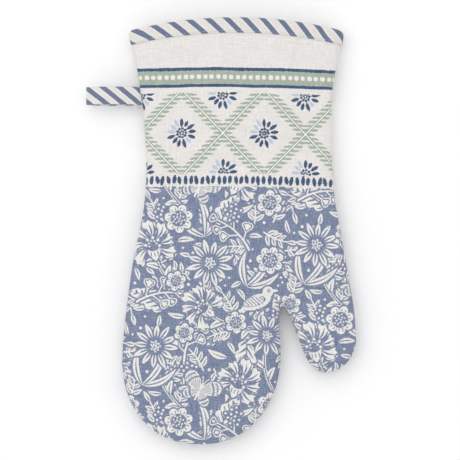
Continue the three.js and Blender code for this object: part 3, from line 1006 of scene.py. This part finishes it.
def skin_faces(count, sides, closed):
    """Faces through rings of points, each face's corners as (ring, point)."""
    faces = []
    for i in range(count if closed else count - 1):
        for k in range(sides):
            faces.append([(i, k), (i, k + 1), (i + 1, k + 1), (i + 1, k)])
    if not closed:
        faces.append([(0, k) for k in range(sides)][::-1])
        faces.append([(count - 1, k) for k in range(sides)])
    return faces


def sweep(name, rings, along, across, closed):
    """A skin through rings of points. along has a value for each ring, across for each point of
    one, and both have one more where they close."""
    count, sides = rings.shape[:2]
    corners = skin_faces(count, sides, closed)
    faces = [[i % count * sides + k % sides for i, k in face] for face in corners]
    obj = new_object(name, rings.reshape(-1, 3), faces, 60)
    write_uv(obj, "flat", np.array([(along[i], across[k]) for face in corners for i, k in face]))
    return obj


def straight(start, end, depth):
    """Points between two distances below the edge, at one depth and without the ends."""
    return [(start + (end - start) * t, depth) for t in np.linspace(0, 1, 9)[1:-1]]


def over_fold(skin, turns):
    """Points round the fold at the cuff's edge, this far within the tape's outside."""
    middle, half = (BINDING_OUT + BINDING_IN) / 2, (BINDING_IN - BINDING_OUT) / 2
    return [(BINDING_FOLD - (BINDING_FOLD - skin) * math.sin(a), middle - (half - skin) * math.cos(a))
            for a in turns]


def binding_section():
    """The folded tape's section, closed, as (distance below the edge, depth). Its outside face
    comes first, and the number of points to the top of the fold comes second."""
    turns = np.linspace(0, math.pi, 13)
    front, back, fold = BINDING_WIDTH, BINDING_BACK, BINDING_FOLD
    inner_out, inner_in = BINDING_OUT + BINDING_SKIN, BINDING_IN - BINDING_SKIN
    outside = [(front - 0.1, BINDING_OUT + 0.6), (front, BINDING_OUT + 0.3),
               (front - 0.35, BINDING_OUT), *straight(front - 0.35, fold, BINDING_OUT)]
    section = [*outside, *over_fold(0, turns), *straight(fold, back - 0.35, BINDING_IN),
               (back - 0.35, BINDING_IN), (back, BINDING_IN - 0.3), (back - 0.1, BINDING_IN - 0.6),
               (back - 0.4, inner_in), *straight(back - 0.4, fold, inner_in),
               *over_fold(BINDING_SKIN, turns[::-1]), *straight(fold, front - 0.4, inner_out),
               (front - 0.4, inner_out)]
    return section, len(outside) + len(turns) // 2


def cuff_line(below, shares):
    """Points on the arc this far below the cuff's edge, from side to side."""
    depth = below_cuff(OUTLINE)
    inside = np.flatnonzero(depth > below)
    angles = []
    for i, j in ((inside[0] - 1, inside[0]), (inside[-1] + 1, inside[-1])):
        share = (below - depth[i]) / (depth[j] - depth[i])
        p = OUTLINE[i] + (OUTLINE[j] - OUTLINE[i]) * share - CUFF_CENTRE
        angles.append(math.atan2(p[1], p[0]))
    angle = angles[0] + (angles[1] - angles[0]) * shares
    return CUFF_CENTRE + (CUFF_RADIUS - below) * np.column_stack([np.cos(angle), np.sin(angle)])


def rounded_line(below, shares):
    """The same, with the cuff's two corners rounded and the tape narrower towards them."""
    below = below * (1 - 0.09 * (2 * shares - 1) ** 2)
    plain_line = np.array([cuff_line(b, s)[0] for b, s in zip(below, shares[:, None])])
    gap = np.clip(CORNER - flat_panel(plain_line).edge, 0, CORNER)
    drop = CORNER - np.sqrt(CORNER ** 2 - gap ** 2)
    drop *= 1 - ramp(below, 0, BINDING_WIDTH)
    return np.array([cuff_line(b, s)[0] for b, s in zip(below + drop, shares[:, None])])


def binding_rings(section):
    """The section at every station, along the front of the cuff and back along its other side."""
    even = np.linspace(0, 1, STATIONS)
    shares = 0.75 * even + 0.25 * (1 - np.cos(even * math.pi)) / 2
    rings = []
    for below, depth in section:
        panel = flat_panel(rounded_line(below, shares))
        tuck = 0.14 * np.sin(shares * 350) * ramp(below, 7, 10.5)
        front, back = (place(panel, side, depth + tuck, binding=True, groove=0) for side in (1, -1))
        front[[0, -1], 2] = MID_Z
        rings.append(np.vstack([front, back[-2:0:-1]]))
    return np.array(rings).transpose(1, 0, 2)


def all_round(points):
    """Distance along a closed line at each of its points, and its whole length last."""
    return np.r_[0, np.cumsum(np.linalg.norm(np.roll(points, -1, 0) - points, axis=1))]


def cuff_binding(name):
    """The binding, with a whole number of stripes, and its rings of points."""
    section, top = binding_section()
    rings = binding_rings(section)
    edge = rings[:, top]
    along = all_round(edge)
    front = along[STATIONS - 1]
    whole = STRIPE_PITCH * round(along[-1] / STRIPE_PITCH)
    along[STATIONS:] = front + (along[STATIONS:] - front) * (whole - front) / (along[-1] - front)
    along -= np.interp(0, edge[:STATIONS, 0], along[:STATIONS])
    across = BINDING_WIDTH - run_along(np.array([*section, section[0]]))
    return sweep(name, rings, along, across, closed=True), rings


def stitch(start, end, normal):
    """Rings of a thread that dips into the cloth at both ends."""
    axis = (end - start) / np.linalg.norm(end - start)
    side = np.cross(axis, normal)
    side /= np.linalg.norm(side)
    a = np.arange(STITCH_SIDES)[:, None] * 2 * math.pi / STITCH_SIDES
    round_it = np.cos(a) * side + np.sin(a) * normal
    return [start + (end - start) * t + STITCH_RADIUS * (normal * rise + size * round_it)
            for t, size, rise in STITCH_RINGS]


def stitches(name, rings):
    """Short threads all round the cuff, just above the binding's lower edge."""
    below, line, above = (rings[:, STITCH_ROW + step] for step in (-1, 0, 1))
    length = all_round(line)
    tangent = np.roll(line, -1, 0) - np.roll(line, 1, 0)
    normal = np.cross(tangent, above - below)
    normal /= np.linalg.norm(normal, axis=1)[:, None]
    if normal[STATIONS // 2, 2] < 0:
        normal = -normal
    line, normal = (np.vstack([table, table[:1]]) for table in (line, normal))

    def at(s, table):
        return np.array([np.interp(s, length, column) for column in table.T])

    verts, faces = [], []
    corners = skin_faces(len(STITCH_RINGS), STITCH_SIDES, closed=False)
    count = round(length[-1] / STITCH_EVERY)
    for i in range(count):
        s = i * length[-1] / count
        n = at(s + STITCH_LENGTH / 2, normal)
        base = STITCH_SIDES * len(verts)
        verts += stitch(at(s, line), at(s + STITCH_LENGTH, line), n / np.linalg.norm(n))
        faces += [[base + r * STITCH_SIDES + k % STITCH_SIDES for r, k in face] for face in corners]
    return new_object(name, np.vstack(verts), faces, 80)


def loop_path():
    """The loop's tape seen from its edge, from one end in the seam round to the other, as x and
    height from its middle."""
    rise, root, bulge = LOOP_RISE, LOOP_TAPE / 2 + 0.05, LOOP_TIP_X + LOOP_BULGE
    nose, taper = rise * 0.62, (LOOP_ROOT_X - bulge) / 2
    upper = np.vstack([
        np.column_stack([np.linspace(LOOP_TAIL_X, LOOP_ROOT_X, 12)[:-1], np.full(11, root)]),
        bezier((LOOP_ROOT_X, root), (LOOP_ROOT_X - taper, root), (bulge + taper, rise), (bulge, rise), 40),
        bezier((bulge, rise), (LOOP_TIP_X + nose, rise), (LOOP_TIP_X, nose), (LOOP_TIP_X, 0), 24),
        [(LOOP_TIP_X, 0)]])
    return np.vstack([upper, upper[-2::-1] * (1, -1)])


def hanging_loop(name):
    """The loop and the length of its tape. Its two ends lie a little beside each other."""
    path = loop_path()
    tangent = np.gradient(path, axis=0)
    tangent /= norms(tangent)[:, None]
    length = run_along(path)
    half, thick = LOOP_WIDTH / 2, LOOP_TAPE / 2
    face = [(y, thick) for y in np.linspace(0.35 - half, half - 0.35, 9)]
    face += [(half - 0.08, thick * 0.7), (half, 0), (half - 0.08, -thick * 0.7)]
    section = face + [(-y, -t) for y, t in face]
    rings = []
    for (x, z), (along_x, along_z), s in zip(path, tangent, length / length[-1]):
        slip = 0.45 * (1 - 2 * ramp(s, 0.3, 0.7)) * (x < LOOP_ROOT_X)
        slant = 0.018 * (s - 0.5)
        rings.append([(x + along_z * t + slant * y, LOOP_Y + y + slip, MID_Z + z - along_x * t)
                      for y, t in section])
    across = [y for y, _ in [*section, section[0]]]
    along = np.r_[length, length[-1]] - length[-1] / 2
    return sweep(name, np.array(rings), along, across, closed=False), length[-1]


# ---- materials --------------------------------------------------------------------
def colour(red, green, blue):
    """An sRGB colour as a photo shows it, for a shader."""
    return tuple(c / 255 / 12.92 if c < 10.3 else ((c / 255 + 0.055) / 1.055) ** 2.4
                 for c in (red, green, blue)) + (1.0,)


def brighter(rgb, by):
    return colour(*(c + by for c in rgb))


class Value:
    """A node's output. Arithmetic with it adds math nodes."""

    def __init__(self, paint, socket):
        self.paint, self.socket = paint, socket

    def math(self, operation, other=0.0):
        return self.paint.node("ShaderNodeMath", {0: self, 1: other}, operation=operation)

    def __add__(self, other):
        return self.math("ADD", other)

    def __sub__(self, other):
        return self.math("SUBTRACT", other)

    def __mul__(self, other):
        return self.math("MULTIPLY", other)

    def __truediv__(self, other):
        return self.math("DIVIDE", other)

    def __abs__(self):
        return self.math("ABSOLUTE")


class Paint:
    """A node material. Each call adds a node and gives its value to pass on."""

    def __init__(self, name, roughness, sheen, specular):
        self.material = bpy.data.materials.new(name)
        self.material.use_nodes = True
        self.tree = self.material.node_tree
        self.shader = self.tree.nodes["Principled BSDF"]
        for socket, value in (("Roughness", roughness), ("Sheen Weight", sheen),
                              ("Specular IOR Level", specular)):
            self.shader.inputs[socket].default_value = value

    def put(self, socket, value):
        if isinstance(value, Value):
            self.tree.links.new(value.socket, socket)
        else:
            socket.default_value = value

    def node(self, kind, inputs, output=0, **settings):
        made = self.tree.nodes.new(kind)
        for key, value in settings.items():
            setattr(made, key, value)
        for key, value in inputs.items():
            self.put(made.inputs[key], value)
        return Value(self, made.outputs[output])

    def attribute(self, name):
        return self.node("ShaderNodeAttribute", {}, "Fac", attribute_name=name)

    def flat(self):
        return self.node("ShaderNodeUVMap", {}, uv_map="flat")

    def place(self):
        return self.node("ShaderNodeTexCoord", {}, "Object")

    def part(self, vector, axis):
        return self.node("ShaderNodeSeparateXYZ", {0: vector}, axis)

    def times(self, vector, x, y):
        return self.node("ShaderNodeVectorMath", {0: vector, 1: (x, y, 1)}, operation="MULTIPLY")

    def noise(self, vector, scale=1.0, detail=2.0, roughness=0.5):
        return self.node("ShaderNodeTexNoise", {"Vector": vector, "Scale": scale, "Detail": detail,
                                                "Roughness": roughness})

    def mask(self, value, zero, one):
        """0 where value is beyond zero, 1 beyond one, smooth between; zero may be above one."""
        return self.node("ShaderNodeMapRange", {"Value": value, "From Min": zero, "From Max": one},
                         interpolation_type="SMOOTHSTEP")

    def mix(self, share, a, b):
        return self.node("ShaderNodeMix", {0: share, 6: a, 7: b}, 2, data_type="RGBA")

    def finish(self, shade, height=None, strength=0.0, distance=0.0):
        """Gives the material its colour and its relief, if it has any."""
        self.put(self.shader.inputs["Base Color"], shade)
        if height is not None:
            relief = {"Height": height, "Strength": strength, "Distance": distance}
            self.put(self.shader.inputs["Normal"], self.node("ShaderNodeBump", relief))
        return self.material


WEAVE = 2 * math.pi / 0.62      # the linen's threads lie 0.62 mm apart
TWILL = 2 * math.pi / 0.9


def threads(paint, flat):
    """Linen: uneven threads both ways. Gives warp, weft, thick slubs and a height."""
    warp = paint.noise(paint.times(flat, 1.9, 0.10), 1, 3)
    weft = paint.noise(paint.times(flat, 0.10, 1.9), 1, 3)
    slub_up = paint.noise(paint.times(flat, 0.85, 0.055), 1, 1)
    slub_over = paint.noise(paint.times(flat, 0.055, 0.85), 1, 1)
    slub = paint.mask(slub_up, 0.62, 0.78).math("MAXIMUM", paint.mask(slub_over, 0.62, 0.78))
    weave_x, weave_y = ((paint.part(flat, axis) * WEAVE).math("SINE") for axis in (0, 1))
    return warp, weft, slub, weave_x * weave_y * 0.22 + warp + weft + slub * 0.5


def printed_cloth():
    paint = Paint("printed_linen", roughness=0.93, sheen=0.12, specular=0.2)
    flat = paint.flat()
    warp, weft, slub, height = threads(paint, flat)
    jitter = (warp + weft - 1) * 0.7 + (paint.noise(flat, 0.8, 3) - 0.5) * 0.8
    dull = (paint.noise(flat, 1.15, 2, 0.6) - 0.5) * 1.5 + warp + weft

    def shape(field, edge=0.22):
        return paint.mask(paint.attribute("print_" + field) + jitter, edge, -edge)

    def dyed(low, high, dark, light):
        return paint.mix(paint.mask(dull, low, high), colour(*dark), colour(*light))

    front = dyed(0.7, 1.3, (221, 216, 212), (238, 235, 233))
    bar = abs(paint.attribute("print_bar")) + jitter * 0.25
    for share, shade in (
            (slub * 0.5, colour(211, 206, 201)),
            (shape("green"), dyed(0.7, 1.2, (154, 168, 153), (174, 185, 171))),
            (paint.mask(bar, 1.22, 1.06), colour(134, 150, 132)),
            (paint.mask(bar, 0.66, 0.46), colour(234, 235, 229)),
            (shape("white"), colour(234, 230, 225)),
            (shape("pale"), colour(192, 200, 217)),
            (shape("navy"), dyed(0.7, 1.25, (52, 74, 107), (82, 103, 131)))):
        front = paint.mix(share, front, shade)
    blue = dyed(0.6, 1.4, (99, 111, 141), (145, 155, 179))
    blue = paint.mix(paint.mask(dull, 1.16, 1.30) * 0.5, blue, colour(172, 178, 192))
    leaves = dyed(0.6, 1.3, (219, 217, 212), (242, 239, 236))
    cut = paint.attribute("print_cut")
    beside = abs(cut - cut.math("ROUND")) - paint.attribute("print_cut_half") + jitter * 0.13
    uncut = shape("leaves") * paint.mask(beside, -0.035, 0.035)
    ground = paint.mix(uncut, blue, leaves)
    return paint.finish(paint.mix(shape("ground"), front, ground), height, 0.55, 0.00022)


def striped_tape(name, pitch, slope, shift, half_width, blue, base):
    """Stripes every pitch along the tape, leaning by slope, with faint lines between them."""
    paint = Paint(name, roughness=0.9, sheen=0.1, specular=0.22)
    flat = paint.flat()
    warp, weft, _, height = threads(paint, flat)
    dull = warp + weft
    along = paint.part(flat, 1) * -slope + paint.part(flat, 0)
    centred = ((along - shift) / pitch + 0.5).math("FRACT") - 0.5
    square_on = pitch / math.hypot(1, slope)
    offset = abs(centred) * square_on + (dull - 1) * 0.4
    shade = paint.mix(paint.mask(dull, 0.75, 1.25), brighter(base, -8), brighter(base, 6))
    for line in (0.31, 0.42, 0.5):
        near = abs(offset - line * square_on)
        shade = paint.mix(paint.mask(near, 0.42, 0.16) * 0.4, shade, colour(206, 200, 190))
    ink = paint.mix(paint.mask(dull, 0.7, 1.25), brighter(blue, -14), brighter(blue, 4))
    stripe = paint.mask(offset, half_width + 0.2, half_width - 0.2)
    return paint.finish(paint.mix(stripe, shade, ink), height, 0.6, 0.0002)


def lining_cloth():
    paint = Paint("lining_cotton", roughness=0.92, sheen=0.1, specular=0.2)
    flat = paint.flat()
    warp, _, _, height = threads(paint, flat)
    twill = ((paint.part(flat, 0) + paint.part(flat, 1)) * TWILL).math("SINE")
    shade = paint.mix(paint.mask(paint.noise(flat, 0.03, 3), 0.35, 0.7),
                      colour(226, 220, 208), colour(238, 233, 224))
    shade = paint.mix(paint.mask(warp, 0.45, 0.7) * 0.5, shade, colour(213, 205, 190))
    return paint.finish(shade, twill * 0.3 + height, 0.5, 0.0002)


def wadding():
    paint = Paint("cotton_wadding", roughness=1.0, sheen=0.35, specular=0.1)
    fluff = paint.noise(paint.place(), 900, 6, 0.7)
    shade = paint.mix(paint.mask(fluff, 0.3, 0.75), colour(216, 211, 200), colour(242, 240, 234))
    return paint.finish(shade, paint.noise(paint.place(), 160, 2) * 0.8 + fluff, 0.8, 0.0009)


def sewing_thread():
    paint = Paint("cotton_thread", roughness=0.7, sheen=0.2, specular=0.35)
    twist = paint.node("ShaderNodeTexWave", {"Vector": paint.place(), "Scale": 900.0, "Distortion": 1.5},
                       "Fac", bands_direction="DIAGONAL")
    return paint.finish(paint.mix(twist, colour(178, 182, 190), colour(205, 206, 210)), twist, 0.5, 0.0001)


def pale_floor():
    paint = Paint("pale_floor", roughness=0.95, sheen=0.0, specular=0.0)
    speck = paint.noise(paint.place(), 60, 2)
    return paint.finish(paint.mix(speck, colour(253, 253, 253), colour(255, 255, 255)))


# ---- camera, light and floor ---------------------------------------------------------
FIELD_WIDE = 0.355              # width of the picture at the mitt's middle height
CAMERA_X, CAMERA_Y = 0.0064, 0.0012
LENS, SENSOR = 250.0, 36.0
WORLD_LIGHT = 0.84
LAMP_AT, LAMP_SIZE, LAMP_POWER = (-0.4, 0.55, 1.6), 1.8, 8.9
FLOOR_HALF, FLOOR_BELOW = 3000, 0.15


def add(name, data, at):
    obj = bpy.data.objects.new(name, data)
    obj.location = at
    bpy.context.scene.collection.objects.link(obj)
    return obj


def stage():
    scene = bpy.context.scene
    scene.view_settings.view_transform = "Standard"
    camera = bpy.data.cameras.new("camera")
    camera.lens, camera.sensor_width = LENS, SENSOR
    camera.dof.use_dof = False
    camera.clip_start, camera.clip_end = 0.01, 20
    scene.camera = add("camera", camera, (CAMERA_X, CAMERA_Y, MID_Z * MM + FIELD_WIDE * LENS / SENSOR))
    scene.world = bpy.data.worlds.new("soft_room")
    scene.world.use_nodes = True
    background = scene.world.node_tree.nodes["Background"].inputs
    background["Color"].default_value = (1, 1, 1, 1)
    background["Strength"].default_value = WORLD_LIGHT
    light = bpy.data.lights.new("key_lamp", "AREA")
    light.size, light.energy = LAMP_SIZE, LAMP_POWER
    lamp = add("key_lamp", light, LAMP_AT)
    lamp.rotation_euler = (-Vector(LAMP_AT)).to_track_quat("-Z", "Y").to_euler()
    corners = [(x * FLOOR_HALF, y * FLOOR_HALF, -FLOOR_BELOW)
               for x, y in ((-1, -1), (1, -1), (1, 1), (-1, 1))]
    floor = new_object("floor", corners, [(0, 1, 2, 3)], 0)
    floor.data.materials.append(pale_floor())


# ---- assembly ------------------------------------------------------------------------
SEAM_ALLOWANCE = 8.0
LINING_CUT = 0.93               # the lining lies inside the padding and is cut this much smaller


def show(piece, material, slot, *nodes):
    """Dresses a piece and sets it in place of its solids."""
    piece.data.materials.append(material)
    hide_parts(*nodes)


def bend(piece, thumb):
    """Bakes the piece's placement into its mesh."""
    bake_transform(piece)


def cut_size(panel, thumb):
    """(width, length) in metres of the cloth a piece was cut from, with a seam allowance."""
    points = panel.xy[np.unique(panel.part(thumb))]
    return tuple(float(s) for s in (np.ptp(points, axis=0) + 2 * SEAM_ALLOWANCE) * MM)


stage()
levels = panels()
fine, coarse = levels[LEVELS], levels[1]
canvas = botanical()
# Each layer's word in the pieces' names and in the solids', its outer panel, look, slot and share
# of the panel's area.
WALL = (("cloth", "shell", fine, printed_cloth(), "printed_cloth", 1.0),
        ("filling", "wadding", coarse, wadding(), "wadding", None),
        ("inside", "lining", coarse, lining_cloth(), "lining", LINING_CUT))
for side, face in ((1, "front"), (-1, "back")):
    for thumb, part, bodies in ((False, "hand", ("palm", "fingers")), (True, "thumb", ("thumb",))):
        area = levels[0].area(thumb) * MM * MM
        for word, kind, outer, material, slot, share in WALL:
            piece = layer(f"{face}_{word}_{part}", kind, side, thumb, outer, coarse,
                          canvas if kind == "shell" else None)
            show(piece, material, slot, *(f"{face}_{kind}_{body}" for body in bodies))
            bend(piece, thumb)
            if share:
                cut_size(coarse, thumb)
                area * share

edging, rings = cuff_binding("cuff_tape")
stripes = striped_tape("striped_binding", STRIPE_PITCH, slope=1.0, shift=-39.0, half_width=1.95,
                       blue=(112, 123, 150), base=(233, 229, 225))
show(edging, stripes, "striped_tape", "cuff_binding")
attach(edging, "palm")
sewing = stitches("cuff_tape_stitches", rings)
show(sewing, sewing_thread(), "thread", "binding_stitching")
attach(sewing, "palm")

hanger, tape_length = hanging_loop("loop_tape")
stripes = striped_tape("striped_loop", LOOP_PITCH, slope=1.235, shift=3.9, half_width=1.85,
                       blue=(116, 127, 151), base=(238, 235, 232))
show(hanger, stripes, "striped_tape", "hanging_loop", "hanging_loop_tail")
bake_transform(hanger)
